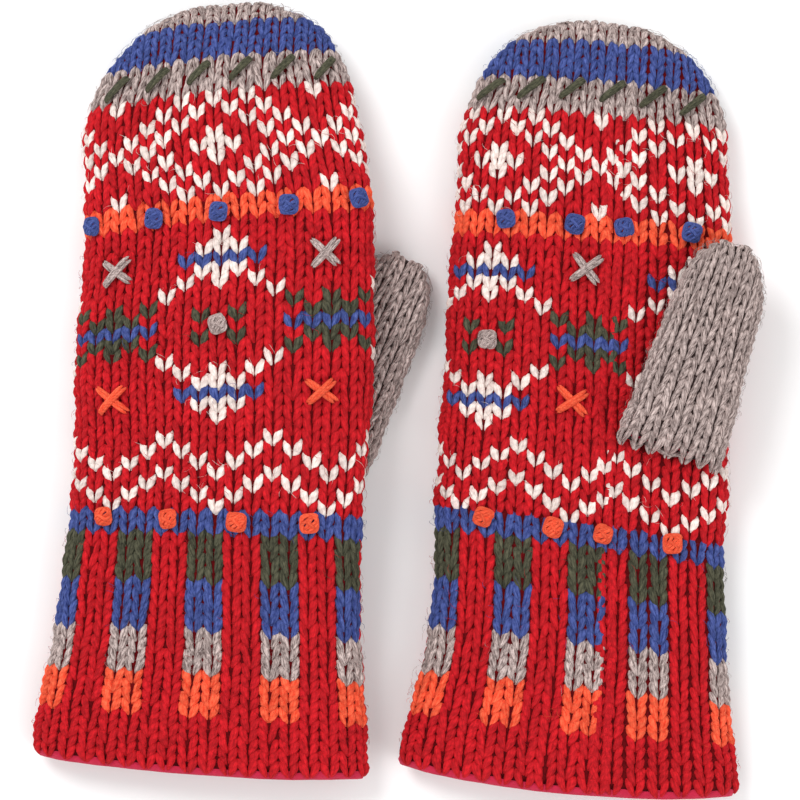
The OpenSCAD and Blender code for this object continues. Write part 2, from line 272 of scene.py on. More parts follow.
# Height of a row in mm in the hem, the striped cuff, the hand and the tip
ROW_HEIGHTS = {"left": (3.76, 4.3, 3.86, 4.15), "right": (3.98, 4.3, 3.82, 4.05)}
# Rows counted from the wrist at which each of those heights begins, and the last row
ROW_ZONES = (-CUFF_ROWS, -10.5, -2.5, 27.5, 40)
# How far the rows turn, in degrees, at distances in mm from the cuff edge
ROW_TURN = {
    "left": ([0, 42, 84, 120, 155, 192, 228, 265], [-3.8, -3, -1.6, 1.8, 4.2, 5.4, 5.8, 5]),
    "right": ([0, 44, 88, 122, 156, 191, 226, 265], [-5.2, -7, -8, -6.3, -4.8, -4.3, -5, -4.5]),
}
# How far the knitting has crept round the hand, in stitches, in the cuff and the tip
CREEP = {"left": (0.4, -0.28), "right": (0.36, 0.28)}
CREEP_ROWS = (-12, 12)
# How far a row's ends hang behind its middle in the hand
ROW_ARCH = 1.3 * MM
# How far the middle of the cuff edge sags below its corners, and up to what distance
HEM_SAG = {"left": 2 * MM, "right": 4 * MM}
HEM_LENGTH = 44 * MM
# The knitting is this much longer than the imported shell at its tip
TIP_REACH = 2 * MM
# Sampling: points round a ring, rings to a row, and steps from its middle to its edge
ROUND_POINTS = 144
ROW_STEPS = 2
ACROSS = 22
# Rays start well clear of the object, above it and below it
ABOVE = 0.2
BELOW = -0.1
# No tube reaches further than this from its middle, and halving finds its edge
FURTHEST = 90 * MM
HALVINGS = 16
# Steps aside that find the surface again beside the gap between two shell lengths
BESIDE = 0.6 * MM
OVER_GAP = 0.5 * MM
# The surface is filled in this far past the thumb hole's edge
HOLE_MARGIN = 0.6 * MM


def shell_tree(*nodes):
    """One search tree over the loose triangles of some CAD nodes."""
    points, faces = [], []
    for name in nodes:
        mesh = frame["nodes"][name].data
        first = len(points)
        points += [v.co.copy() for v in mesh.vertices]
        faces += [[first + i for i in p.vertices] for p in mesh.polygons]
    return BVHTree.FromPolygons(points, faces)


def joint(name):
    return next(j for j in frame["joints"] if j["name"] == name)


def mount(name):
    return next(m for m in frame["record"]["mounts"] if m["name"] == name)


class Tube:
    """A knitted tube, sampled as rings of points on the outside of its packed shell.

    origin and ahead are its start and direction on the table, turn(s) is the angle
    of its rows, and arch(s) how far their ends hang behind their middle. Its surface
    is filled in over the thumb hole, which is on the face given by hole_face.
    """

    def __init__(self, tree, origin, ahead, turn, arch, hole, hole_face):
        self.tree = tree
        self.origin = np.array(origin[:2], float)
        self.ahead = np.array(ahead, float)
        self.turn = turn
        self.arch = arch
        self.hole = np.array(hole[:2], float)
        self.hole_face = hole_face

    def height(self, place, face):
        """Height of the upper surface or the underside at a place on the table."""
        if face == self.hole_face and np.linalg.norm(place - self.hole) < HOLE_RADIUS + HOLE_MARGIN:
            return None
        start, way = (ABOVE, -1.0) if face > 0 else (BELOW, 1.0)
        for nudge in (0.0, BESIDE, -BESIDE):
            hit = self.tree.ray_cast((place[0], place[1] + nudge, start), (0, 0, way))[0]
            if hit is not None:
                return hit.z
        return None

    def covered(self, place):
        """Whether the tube lies here, or on both sides of a gap between two lengths."""
        starts = [(place[0], place[1] + nudge, ABOVE) for nudge in (0.0, OVER_GAP, -OVER_GAP)]
        here, past, before = (self.tree.ray_cast(start, (0, 0, -1))[0] is not None
                              for start in starts)
        return here or (past and before)

    def reach(self, middle, way):
        """How far the tube goes from middle, along way."""
        low, high = 0.0, FURTHEST
        for _ in range(HALVINGS):
            half = (low + high) / 2
            inside = self.covered(middle + way * half)
            low, high = (half, high) if inside else (low, half)
        return low

    def ring(self, s, drift):
        """ROUND_POINTS points round the tube at distance s, from its upper middle."""
        angle = math.radians(self.turn(s / MM))
        across = np.array([math.cos(angle), math.sin(angle)])
        flat = max(s, 0.4 * MM)
        middle = self.origin + self.ahead * flat + across * drift
        right, left = self.reach(middle, across), self.reach(middle, -across)
        drift += (right - left) / 2
        middle = middle + across * (right - left) / 2
        half = (right + left) / 2 * 0.9995
        steps = half * np.sin(np.linspace(-1, 1, 2 * ACROSS + 1) * math.pi / 2)
        arch = self.arch(s)
        loops = []
        for face in (1, -1):
            places = [middle - self.ahead * (arch * (t / half) ** 2) + across * t for t in steps]
            heights = [self.height(p, face) for p in places]
            known = [i for i, h in enumerate(heights) if h is not None]
            filled = np.interp(steps, steps[known], [heights[i] for i in known])
            loops.append(np.array([[*(p + self.ahead * (s - flat)), z]
                                   for p, z in zip(places, filled)]))
        over, under = loops
        loop = np.concatenate([over[ACROSS:], under[::-1], over[:ACROSS + 1]])
        length = np.concatenate([[0], np.cumsum(np.linalg.norm(np.diff(loop, axis=0), axis=1))])
        at = np.linspace(0, length[-1], ROUND_POINTS, endpoint=False)
        return np.stack([np.interp(at, length, loop[:, k]) for k in range(3)], 1), length[-1], drift

    def tip_distances(self, start, drift, count):
        """Distances at which rows of even height over the rounded tip fall."""
        angle = math.radians(self.turn(start / MM))
        base = self.origin + np.array([math.cos(angle), math.sin(angle)]) * drift
        seen, heights = [start], [self.height(base + self.ahead * start, 1)]
        while heights[-1] is not None:
            seen.append(seen[-1] + 0.25 * MM)
            heights.append(self.height(base + self.ahead * seen[-1], 1))
        walked = np.cumsum(np.hypot(np.diff(seen[:-1]), np.diff(heights[:-1])))
        walked = np.concatenate([[0], walked])
        even = np.interp(np.linspace(0, walked[-1], count + 1)[1:], walked, seen[:-1])
        return [min(s, seen[-2] - 0.9 * MM) for s in even]

    def sample(self, distances, tip_count, stitches, spin, root=0.0):
        """Samples rings at the given distances, then tip_count more and an end ring.

        The root of a tube, where it comes out of another, is drawn square.
        """
        self.stitches = stitches
        self.spin = spin
        rings, lengths, drift = [], [], 0.0
        for s in distances:
            ring, length, drift = self.ring(max(s, root) if root else s, drift)
            if root and s < root:
                low = ring[:, 2].min()
                ring[:, 2] = low + (ring[:, 2] - low) * (0.45 + 0.55 * (s / root) ** 0.7)
                ring[:, :2] += self.ahead * (s - root)
            rings.append(ring)
            lengths.append(length)
        for i, s in enumerate(self.tip_distances(distances[-1], drift, tip_count)):
            ring, length, _ = self.ring(s, drift)
            ring[:, :2] += self.ahead * TIP_REACH * ((i + 1) / tip_count) ** 2
            rings.append(ring)
            lengths.append(length)
        end = rings[-1].copy()
        end[:, 2] = end[:, 2].mean() + (end[:, 2] - end[:, 2].mean()) * 0.15
        end[:, :2] += self.ahead * 0.8 * MM
        rings.append(end)
        lengths.append(lengths[-1])
        points = np.array(rings)
        for _ in range(2):
            points = (np.roll(points, 1, 1) + 2 * points + np.roll(points, -1, 1)) / 4
            points[1:-2] = (points[:-3] + 2 * points[1:-2] + points[2:-1]) / 4
        self.points = points
        along = np.gradient(points, axis=0)
        around = (np.roll(points, -1, 1) - np.roll(points, 1, 1)) / 2
        normals = np.cross(around, along)
        normals /= np.linalg.norm(normals, axis=2, keepdims=True) + 1e-12
        middle = points.mean(1, keepdims=True)
        self.normals = normals * np.sign(((points - middle) * normals).sum(2).mean())
        self.points += self.normals * self.sway()[..., None]
        self.lengths = np.array(lengths)
        straight = len(distances) - 3
        widths = self.lengths / stitches
        widths[straight:] = np.maximum(widths[straight:], widths[straight])
        self.widths = widths

    def sway(self):
        """Slow swells of about half a millimetre, none where the tube rests on the floor."""
        rows, around = np.indices(self.points.shape[:2])
        swell = np.zeros(rows.shape)
        for waves, reach in ((2, 31.0), (3, 17.0), (5, 23.0), (7, 11.0)):
            start = rng.uniform(0, 2 * math.pi, 2)
            swell += (np.sin(2 * math.pi * waves * around / ROUND_POINTS + start[0])
                      * np.sin(2 * math.pi * rows / reach + start[1]))
        floor_gap = np.clip(self.points[..., 2] / (6 * MM), 0, 1)
        return swell * 0.3 * MM * floor_gap

    def mix(self, table, ring, point):
        i, f = np.floor(ring).astype(int), (ring % 1)[:, None]
        j, g = np.floor(point).astype(int), (point % 1)[:, None]
        j, k = j % ROUND_POINTS, (j + 1) % ROUND_POINTS
        near = table[i, j] * (1 - g) + table[i, k] * g
        far = table[i + 1, j] * (1 - g) + table[i + 1, k] * g
        return near * (1 - f) + far * f

    def under(self, row, point, depth):
        """Points at a depth inside the surface; rows below 0 go on past the edge."""
        ring = np.clip(row * ROW_STEPS, 0, len(self.points) - 1.001)
        normal = self.mix(self.normals, ring, point)
        normal /= np.linalg.norm(normal, axis=1, keepdims=True) + 1e-12
        place = self.mix(self.points, ring, point)
        step = self.mix(self.points[3:5] - self.points[1:3], ring * 0, point) / 2
        past = np.minimum(row, 0)[:, None] * ROW_STEPS
        return place + past * step - normal * depth[:, None]

    def on(self, face, row, column, depth):
        """Points at a depth inside the surface, by face, row and stitch."""
        face, row, column, depth = np.broadcast_arrays(face, row, column, depth)
        ring = np.clip(row * ROW_STEPS, 0, len(self.points) - 1.001)
        numbers = np.arange(len(self.points))
        width = np.interp(ring, numbers, self.widths) / np.interp(ring, numbers, self.lengths)
        share = (column + self.spin(row) * face) * width
        return self.under(row, np.where(face > 0, share, 0.5 - share) * ROUND_POINTS, depth)

    def quarter(self, row):
        """Stitches from the middle of a face to the tube's edge."""
        at = row * ROW_STEPS
        numbers = np.arange(len(self.points))
        return np.interp(at, numbers, self.lengths / self.widths) / 4


HOLE_RADIUS = (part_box("left_thumb_ring")[1].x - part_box("left_thumb_ring")[0].x) / 2
THUMB_ROOT = 10 * MM
THUMB_LEAN = {"left": 25, "right": 18}


def palm_face(side):
    return -1 if side == "left" else 1


def mitten_arch(side):
    """Rows hang a little at their ends, but the cuff edge sags in its middle."""
    def arch(s):
        near = min(1, max(0, 1 - s / HEM_LENGTH)) ** 2
        return ROW_ARCH * (1 - near) - HEM_SAG[side] * near
    return arch


def row_places(side):
    """Distances from the cuff corners, in mm, at which the zones of rows begin."""
    steps = np.diff(ROW_ZONES) * ROW_HEIGHTS[side]
    places = np.concatenate([[0], np.cumsum(steps)])
    return places - places[2] + WRIST_AT[side]


def mitten_tube(side):
    """The hand, knuckle and finger lengths of one mitten as one tube."""
    names = [f"{side}_{part}_shell" for part in ("hand", "knuckle", "finger")]
    ats, turns = ROW_TURN[side]
    tube = Tube(shell_tree(*names), mount(f"{side}_cuff")["pos_m"], (0, 1),
                lambda s: np.interp(s, ats, turns), mitten_arch(side),
                joint(f"{side}_thumb_swing")["pos_m"], palm_face(side))
    steps = np.arange(0, TIP_FROM * ROW_STEPS + 1) / ROW_STEPS - CUFF_ROWS
    distances = np.interp(steps, ROW_ZONES, row_places(side)) * MM
    tube.sample(distances, TIP_ROWS * ROW_STEPS, STITCHES_ROUND,
                lambda row: np.interp(row - CUFF_ROWS, CREEP_ROWS, CREEP[side]))
    return tube


THUMB_ROWS = 21
THUMB_SHAFT_ROWS = 16
THUMB_SHAFT = 60 * MM
THUMB_STITCHES = 16


def thumb_tube(side):
    """One thumb as a tube that starts at its root edge."""
    hinge = np.array(joint(f"{side}_thumb_swing")["pos_m"])
    lean = math.radians(THUMB_LEAN[side])
    ahead = np.array([math.sin(lean), math.cos(lean)])
    origin = hinge[:2] - ahead * THUMB_ROOT
    hole_face = 1 if side == "left" else -1
    tube = Tube(shell_tree(f"{side}_thumb_shell"), origin, ahead,
                lambda s: -THUMB_LEAN[side], lambda s: 0.0, hinge, hole_face)
    count = THUMB_SHAFT_ROWS * ROW_STEPS
    distances = np.linspace(0.0, THUMB_SHAFT, count + 1)
    tube.sample(distances, THUMB_ROWS * ROW_STEPS - count, THUMB_STITCHES,
                lambda row: 0 * row, root=9 * MM)
    return tube


# ----------------------------------------------------------------------- stitches

LEG_ROUND = 8
LEG_ALONG = 6
HAIR_RADIUS = 0.06 * MM
STITCH_WIDTH = 5.95 * MM
ROW_HEIGHT = 3.9 * MM


def spindle_mesh(around, along):
    """A closed form along +Z, one unit in radius, with a UV map of the yarn."""
    bm = bmesh.new()
    bm.loops.layers.uv.new("yarn")
    bmesh.ops.create_uvsphere(bm, u_segments=around, v_segments=along, radius=1.0, calc_uvs=True)
    mesh = bpy.data.meshes.new("spindle")
    bm.to_mesh(mesh)
    bm.free()
    return mesh


LEG = spindle_mesh(LEG_ROUND, LEG_ALONG)
HAIR = spindle_mesh(3, 6)


def lay_spindles(name, template, yarns, shape):
    """One mesh of many spindles, by yarn number. shape(order, x, y, z) places them."""
    order = np.argsort(yarns, kind="stable")
    bm = bmesh.new()
    count = len(template.polygons)
    for yarn in np.array(yarns)[order]:
        if template.polygons[0].material_index != yarn:
            template.polygons.foreach_set("material_index", [int(yarn)] * count)
        bm.from_mesh(template)
    mesh = bpy.data.meshes.new(name)
    bm.to_mesh(mesh)
    bm.free()
    form = np.array([v.co for v in template.vertices])
    places = shape(order, *(form[:, k][None] for k in range(3)))
    mesh.vertices.foreach_set("co", places.astype(np.float32).ravel())
    tones = np.repeat(rng.random(len(order)), len(form))
    mesh.attributes.new("tone", "FLOAT", "POINT").data.foreach_set("value", tones.astype(np.float32))
    mesh.polygons.foreach_set("use_smooth", [True] * len(mesh.polygons))
    mesh.update()
    for yarn in YARN_NAMES:
        mesh.materials.append(YARNS[yarn])
    piece = bpy.data.objects.new(name, mesh)
    bpy.context.scene.collection.objects.link(piece)
    return piece


# A leg's line in stitches across and rows up, from its foot to its shoulder
FOOT = (0.075, -0.95)
SHOULDER = (0.345, 0.88)
LEG_HALF_WIDTH = 0.222
LEG_HALF_DEPTH = 1.2 * MM


def leg_profile(up):
    """Thickness along a leg: pointed at the foot, full and round at the shoulder."""
    return 1.736 * up ** 0.55 * (1 - up) ** 0.3


def knit(name, tube, stitches):
    """Lays V-shaped stitches, each (face, row, column, yarn number), on a tube."""
    table = np.array([(f, r, c, y, m) for f, r, c, y in stitches for m in (-1, 1)], float)
    wobble = rng.normal(size=(len(table), 6))

    def shape(order, x, y, z):
        shake = wobble[order][:, None, :]
        face, row, column, mirror = (table[order][:, k][:, None] for k in (0, 1, 2, 4))
        up = np.clip((z + 1) / 2, 1e-4, 1 - 1e-4)
        round_off = leg_profile(up) / np.sqrt(np.maximum(1 - z * z, 1e-3))
        wide = LEG_HALF_WIDTH * (1 + 0.08 * shake[..., 0])
        lean = FOOT[0] + (SHOULDER[0] - FOOT[0]) * np.sin(up * math.pi / 2)
        lean = lean + 0.02 * shake[..., 1]
        rise = FOOT[1] + (SHOULDER[1] - FOOT[1]) * up * (1 + 0.03 * shake[..., 2])
        tuck = 1.5 * np.maximum(up - 0.5, 0) ** 1.5 * 2.6 + 0.9 * (1 - up) ** 4
        depth = (1.25 + tuck + 0.12 * shake[..., 3]) * MM
        across = mirror * lean + face * x * round_off * wide + 0.025 * shake[..., 4]
        raised = rise + 0.035 * shake[..., 5]
        deep = depth - y * round_off * LEG_HALF_DEPTH
        size = across.shape
        flat = [np.broadcast_to(v, size).ravel() for v in (face, row + raised, column + across, deep)]
        return tube.on(*flat)

    return lay_spindles(name, LEG, table[:, 3].astype(int), shape)


def loose_fibres(name, tube, count, yarn_under):
    """Fine hairs that stand off the knitting, in the colour of the yarn under them."""
    face = rng.choice((-1.0, 1.0), count)
    row = rng.uniform(1.0, len(tube.points) / ROW_STEPS - 2.0, count)
    column = rng.uniform(-1.0, 1.0, count) * (tube.stitches / 4 - 0.2)
    way, bend = rng.uniform(0, 2 * math.pi, count), rng.normal(0, 1.1, count)
    length, rise = rng.uniform(1.8, 5.0, count) * MM, rng.uniform(0.2, 1.0, count) * MM
    yarns = [yarn_under(*spot) for spot in zip(face, row, column)]

    def shape(order, x, y, z):
        f, r, c, w, b, far, up = (v[order][:, None] for v in (face, row, column, way, bend, length, rise))
        share = (z + 1) / 2
        reach = far * share
        turn = w + b * share
        across = c + (reach * np.cos(turn) + x * HAIR_RADIUS) / STITCH_WIDTH
        along = r + (reach * np.sin(turn) + x * HAIR_RADIUS) / ROW_HEIGHT
        depth = 0.5 * MM - (0.5 * MM + up) * np.sin(share * 2.4) - y * HAIR_RADIUS
        flat = [np.broadcast_to(v, across.shape).ravel() for v in (f, along, across, depth)]
        return tube.on(*flat)

    return lay_spindles(name, HAIR, yarns, shape)


# ----------------------------------------------------------------- the knitted chart

# Half of each pattern row, from its middle stitch: r red, w cream, b blue, g green
STAR = {
    8: "w......", 9: "ww.....", 10: "bbb....", 11: "ww.....", 12: "w.w....", 13: "...w...",
    14: "....g.g", 15: ".g...gg", 16: "....bbb", 17: ".g...gg", 18: "....g.g", 19: "...w...",
    20: "w.w....", 21: "ww.....", 22: "bbb....", 23: "ww.....", 24: "w......",
    28: "w.w...w", 29: ".w.w...", 30: "..w.w..", 31: "w..w.w.", 32: "ww..w.w",
    33: "w..w.w.", 34: "..w.w..", 35: ".w.w...", 36: "w.w...w",
}
WAVE = {0: "w...", 1: ".w..", 2: "..w.", 3: "w..w", 4: ".w..", 5: "..w.", 6: "...w"}
STRIPES = ["orange", "grey", "blue", "green"]
LETTERS = {".": "red", "w": "cream", "b": "blue", "g": "green"}
HEM_ROWS = 5
WAVE_START = {"left": 0, "right": -1}


def yarn_at(side, row, column):
    """The yarn of one stitch: row from the cuff edge, column from the back's middle."""
    if row < HEM_ROWS:
        return "red"
    if row < CUFF_ROWS - 2:
        stripe = STRIPES[(row - HEM_ROWS) // 4]
        inner = (3, 0) if side == "left" else (1, 2)
        return stripe if column % 4 in inner else "red"
    if row < CUFF_ROWS:
        return "blue"
    row -= CUFF_ROWS
    if row in WAVE:
        at = (column - WAVE_START[side]) % 6
        return LETTERS[WAVE[row][min(at, 6 - at)]]
    if row in STAR:
        at = column % 12
        return LETTERS[STAR[row][min(at, 12 - at)]]
    if row in (26, 27):
        return "orange"
    if row < 37:
        return "red"
    return "blue" if 40 <= row < 44 else "grey"


# On the palm the sewn seam takes up most of a stitch, a little to the thumb side
SEAM_AT = 1.5
SEAM_TAKES = 0.8


def pinched(column):
    """Where a palm column lies once the seam has drawn its neighbours together."""
    taken = SEAM_TAKES * np.clip((column - 0.5) / 2, 0, 1)
    spread = SEAM_TAKES / 6.5 * np.maximum(column - 2.5, 0)
    return column - taken + spread


def place_column(side, face, row, column):
    """A column's place across its face, with the seam and the cuff's half-step."""
    half = 0.5 if side == "right" and row < CUFF_ROWS else 0.0
    return pinched(column + half) if face == palm_face(side) else column + half


def column_number(side, face, column):
    """A stitch's number round the mitten from the middle of the back of the hand."""
    if side == "left":
        return column if face > 0 else 18 - column
    return 18 + column if face > 0 else -column


def mitten_stitches(side, tube, rows):
    """Every stitch of some rows on both faces, except those inside the thumb hole."""
    hole = np.array(joint(f"{side}_thumb_swing")["pos_m"])
    found = []
    for row in rows:
        quarter = float(tube.quarter(row + 0.5))
        for face in (1, -1):
            for column in range(-9, 10):
                at = float(place_column(side, face, row, column))
                edge = quarter + 0.3 if face > 0 else quarter - 0.55
                if abs(at) > edge:
                    continue
                number = column_number(side, face, column)
                middle = tube.on(face, np.array([row + 0.5]), np.array([at]), 0.0)[0]
                if face == palm_face(side) and np.linalg.norm(middle[:2] - hole[:2]) < HOLE_RADIUS:
                    continue
                found.append((face, row + 0.5, at, YARN_NAMES.index(yarn_at(side, row, number))))
    return found


def thumb_stitches(tube):
    grey = YARN_NAMES.index("grey")
    found = []
    for row in range(THUMB_ROWS):
        quarter = float(tube.quarter(row + 0.5))
        for face in (1, -1):
            for column in range(-4, 5):
                if abs(column) <= (quarter + 0.3 if face > 0 else quarter - 0.55):
                    found.append((face, row + 0.5, float(column), grey))
    return found


# ------------------------------------------------ wrapped skins: shells and loose yarn


def wrapped(around, along, place, yarn_length=7 * MM):
    """A closed skin: a grid wrapped round into a tube, each end drawn to a point.

    place(u, v) gives the points for u round the tube and v along it, both 0 to 1.
    """
    bm = bmesh.new()
    bm.loops.layers.uv.new("yarn")
    bmesh.ops.create_grid(bm, x_segments=around, y_segments=along, size=1.0, calc_uvs=True)
    flat = np.array([v.co for v in bm.verts])
    for vert, point in zip(bm.verts, place((flat[:, 0] + 1) / 2, (flat[:, 1] + 1) / 2)):
        vert.co = point
    bmesh.ops.remove_doubles(bm, verts=bm.verts, dist=0.001 * MM)
    bmesh.ops.recalc_face_normals(bm, faces=bm.faces)
    mesh = bpy.data.meshes.new("skin")
    bm.to_mesh(mesh)
    bm.free()
    uv = np.empty(len(mesh.loops) * 2, np.float32)
    mesh.uv_layers["yarn"].uv.foreach_get("vector", uv)
    uv[1::2] *= yarn_length / (7 * MM)
    mesh.uv_layers["yarn"].uv.foreach_set("vector", uv)
    tone = np.full(len(mesh.vertices), rng.random(), np.float32)
    mesh.attributes.new("tone", "FLOAT", "POINT").data.foreach_set("value", tone)
    return mesh


def join_piece(name, meshes, *materials):
    """Joins meshes into one smooth-shaded piece."""
    bm = bmesh.new()
    for mesh in meshes:
        bm.from_mesh(mesh)
    joined = bpy.data.meshes.new(name)
    bm.to_mesh(joined)
    bm.free()
    joined.polygons.foreach_set("use_smooth", [True] * len(joined.polygons))
    for material in materials:
        joined.materials.append(material)
    piece = bpy.data.objects.new(name, joined)
    bpy.context.scene.collection.objects.link(piece)
    return piece


def yarn(path, radius, normal, along, squash=0.9, taper=0.12):
    """One strand along a path of points, its ends drawn in; normal is its up side."""
    path = np.array(path)
    steps = np.concatenate([[0], np.cumsum(np.linalg.norm(np.diff(path, axis=0), axis=1))])
    normal = np.array(normal)

    def place(u, v):
        at = v * steps[-1]
        spot = np.stack([np.interp(at, steps, path[:, k]) for k in range(3)], 1)
        nudge = steps[-1] * 0.02
        ahead = np.stack([np.interp(at + nudge, steps, path[:, k])
                          - np.interp(at - nudge, steps, path[:, k]) for k in range(3)], 1)
        side = np.cross(ahead, normal)
        side /= np.linalg.norm(side, axis=1, keepdims=True) + 1e-12
        up = np.cross(side, ahead)
        up /= np.linalg.norm(up, axis=1, keepdims=True) + 1e-12
        end = np.clip(np.minimum(v, 1 - v) / taper, 0, 1)
        thick = radius * np.sqrt(np.maximum(1 - (1 - end) ** 2, 0))
        turn = u * 2 * math.pi
        return (spot + side * (thick * np.cos(turn))[:, None]
                + up * (thick * squash * np.sin(turn))[:, None])

    return wrapped(8, along, place, steps[-1])


def skin(tube, path, ripple=0.0):
    """A closed pouch inside a tube. path is its (row, depth in mm) section, from the
    middle of its tip, down the outside, round its open edge and up the inside."""
    rows, depths = (np.array(part, float) for part in zip(*path))
    count = int(np.abs(np.diff(rows)).sum() * 1.6 + len(rows))
    walked = np.concatenate([[0], np.cumsum(np.hypot(np.diff(rows), np.diff(depths) * 0.3))])
    walked /= walked[-1]

    def place(u, v):
        row = np.interp(v, walked, rows)
        depth = np.interp(v, walked, depths) * MM
        around = np.floor(u * 1e6 + 0.5) / 1e6 % 1.0
        wave = (np.sin(around * 44 * math.pi + row * 1.7) + np.sin(around * 106 * math.pi - row)) / 2
        points = tube.under(row, around * ROUND_POINTS, depth + ripple * wave)
        for end in (v < 1e-6, v > 1 - 1e-6):
            points[end] = points[end].mean(0)
        return points

    return wrapped(tube.stitches * 2, count, place)


def lining_path(first, last, outer, inner, roll):
    """The lining's section: a fat roll of fleece at the open edge, from row first."""
    return [(last, outer + 0.1), (last - 0.4, outer), (first + 1.2, outer),
            (first + 0.5, outer - roll), (first, outer - roll * 0.6), (first - 0.25, outer + 0.8),
            (first, inner + 0.5), (first + 0.8, inner), (last - 1.5, inner), (last - 1.1, inner + 0.1)]


def backing_path(last, outer, inner):
    return [(last, outer), (last - 0.3, outer), (0.25, outer), (0.1, (outer + inner) / 2),
            (0.25, inner), (last - 1, inner), (last - 0.7, inner)]


# -------------------------------------------------------------------- embroidery


def sewn_parts(name):
    """Foot, upward normal and long direction of each part of a CAD node."""
    bm = bmesh.new()
    bm.from_mesh(frame["nodes"][name].data)
    bmesh.ops.remove_doubles(bm, verts=bm.verts, dist=0.001 * MM)
    left = set(bm.verts)
    parts = []
    while left:
        found, front = set(), [next(v for v in bm.verts if v in left)]
        while front:
            vert = front.pop()
            if vert in found:
                continue
            found.add(vert)
            front += [edge.other_vert(vert) for edge in vert.link_edges]
        left -= found
        points = np.array([v.co for v in bm.verts if v in found])
        centre = (points.max(0) + points.min(0)) / 2
        axes = np.linalg.svd(points - points.mean(0), full_matrices=False)[2]
        normal = axes[2] * np.sign(axes[2][2])
        low = ((points - centre) @ normal).min()
        parts.append((centre + normal * low, normal, axes[0] * np.sign(axes[0][0])))
    bm.free()
    return parts


def arc(start, end, normal, rise, dive, count=9):
    """A strand that comes up at start, lies over the knitting and goes in at end."""
    share = np.linspace(0, 1, count)[:, None]
    lift = rise - (rise + dive) * np.abs(share * 2 - 1) ** 5
    return start + (end - start) * share + normal * lift


def knot_meshes(foot, normal, across):
    """A sewn knot: a squarish coil of one strand, filled with slanting strands."""
    ahead = np.cross(normal, across)
    slant = rng.uniform(-0.25, 0.25)
    across, ahead = (across * math.cos(slant) + ahead * math.sin(slant),
                     ahead * math.cos(slant) - across * math.sin(slant))
    around = np.linspace(0, 2.2 * 2 * math.pi, 46) + rng.uniform(0, 6)
    share = np.linspace(0, 1, 46)
    radius = (3.0 - 0.9 * share) * rng.uniform(0.94, 1.06) * MM
    square = (np.abs(np.cos(around)) ** 5 + np.abs(np.sin(around)) ** 5) ** -0.2
    coil = (foot + np.outer(radius * square * np.cos(around), across)
            + np.outer(radius * square * np.sin(around), ahead)
            + np.outer((0.2 + 1.0 * share) * MM, normal))
    meshes = [yarn(coil, 0.66 * MM, normal, 56, taper=0.03)]
    for step in (-1.7, -0.6, 0.5, 1.6):
        angle = 0.8 + rng.uniform(-0.3, 0.3)
        way = across * math.cos(angle) + ahead * math.sin(angle)
        side = np.cross(normal, way) * step * MM
        reach = (3.1 - 0.3 * abs(step)) * MM
        meshes.append(yarn(arc(foot + side - way * reach, foot + side + way * reach, normal,
                               (2.1 - 0.2 * abs(step)) * MM, 0.2 * MM), 0.62 * MM, normal, 12))
    way = across * math.cos(2.5) + ahead * math.sin(2.5)
    meshes.append(yarn(arc(foot - way * 2.4 * MM, foot + way * 2.0 * MM, normal, 2.5 * MM,
                           -0.4 * MM), 0.55 * MM, normal, 12))
    return meshes


def cross_meshes(foot, normal, across):
    """A sewn cross: two arms of two slack strands each."""
    ahead = np.cross(normal, across)
    meshes = []
    for angle, rise in ((-0.75, 0.5), (0.75, 1.3)):
        angle += rng.uniform(-0.09, 0.09)
        way = across * math.cos(angle) + ahead * math.sin(angle)
        side = np.cross(normal, way)
        reach = rng.uniform(6.6, 7.8) * MM
        for gap in (-0.65, 0.6):
            start = foot - way * reach + side * gap * 0.7 * MM
            end = foot + way * (reach + rng.uniform(-0.7, 0.3) * MM) + side * gap * 1.2 * MM
            meshes.append(yarn(arc(start, end, normal, rise * MM, 0.9 * MM), 0.82 * MM, normal, 14,
                               taper=0.3))
    return meshes


def whip_meshes(foot, normal, along_it):
    """One slanted stitch of doubled yarn over the fingertip band."""
    side = np.cross(normal, along_it)
    reach = rng.uniform(5.6, 6.3) * MM
    meshes = []
    for gap in (-0.5, 0.5):
        path = arc(foot - along_it * reach + side * gap * 0.5 * MM,
                   foot + along_it * reach + side * gap * MM, normal, 0.7 * MM, 1.2 * MM)
        meshes.append(yarn(path, 0.95 * MM, normal, 14, taper=0.3))
    return meshes


def embroider(side, what, yarn_name, make):
    node_name = f"{side}_{what}"
    meshes = []
    for foot, normal, along_it in sewn_parts(node_name):
        meshes += make(foot, normal, along_it)
    piece = join_piece(f"{side}_sewn_{what}", meshes, YARNS[yarn_name])
    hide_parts(node_name)
    return piece


def row_way(side, foot, normal):
    """The direction of the knitted rows at a place on a mitten."""
    ats, turns = ROW_TURN[side]
    cuff = mount(f"{side}_cuff")["pos_m"]
    angle = math.radians(np.interp((foot[1] - cuff[1]) / MM, ats, turns))
    way = np.array([math.cos(angle), math.sin(angle), 0.0])
    way -= normal * (way @ normal)
    return way / np.linalg.norm(way)


# ------------------------------------------------------------------------ assembly

FOLD_HALF = 12 * MM
FOLD_ROW = CUFF_ROWS + 26


def over_fold(piece, side):
    """Reads the knuckle fold's hinge, then bakes a piece's transform into its mesh; the piece is not bent."""
    hinge = np.array(joint(f"{side}_finger_fold")["pos_m"])
    ahead = np.cross([0, 0, 1], joint(f"{side}_finger_fold")["axis"])
    ahead *= FOLD_HALF / np.linalg.norm(ahead)
    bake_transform(piece)


def seam_thread(side, tube):
    """The thread that closes the palm, laid in the groove between two stitches."""
    face = palm_face(side)
    rows = np.arange(0.6, MITTEN_ROWS - 4, 0.25)
    groove = float(pinched(np.array(SEAM_AT)))
    column = groove + 0.05 * np.sin(rows * math.pi)
    depth = (2.0 - 0.25 * np.cos(rows * 2 * math.pi)) * MM
    path = tube.on(face, rows, column, depth)
    return join_piece(f"{side}_seam_thread",
                      [yarn(path, 0.5 * MM, (0, 0, face), len(rows) * 2, taper=0.004)],
                      YARNS["red"])


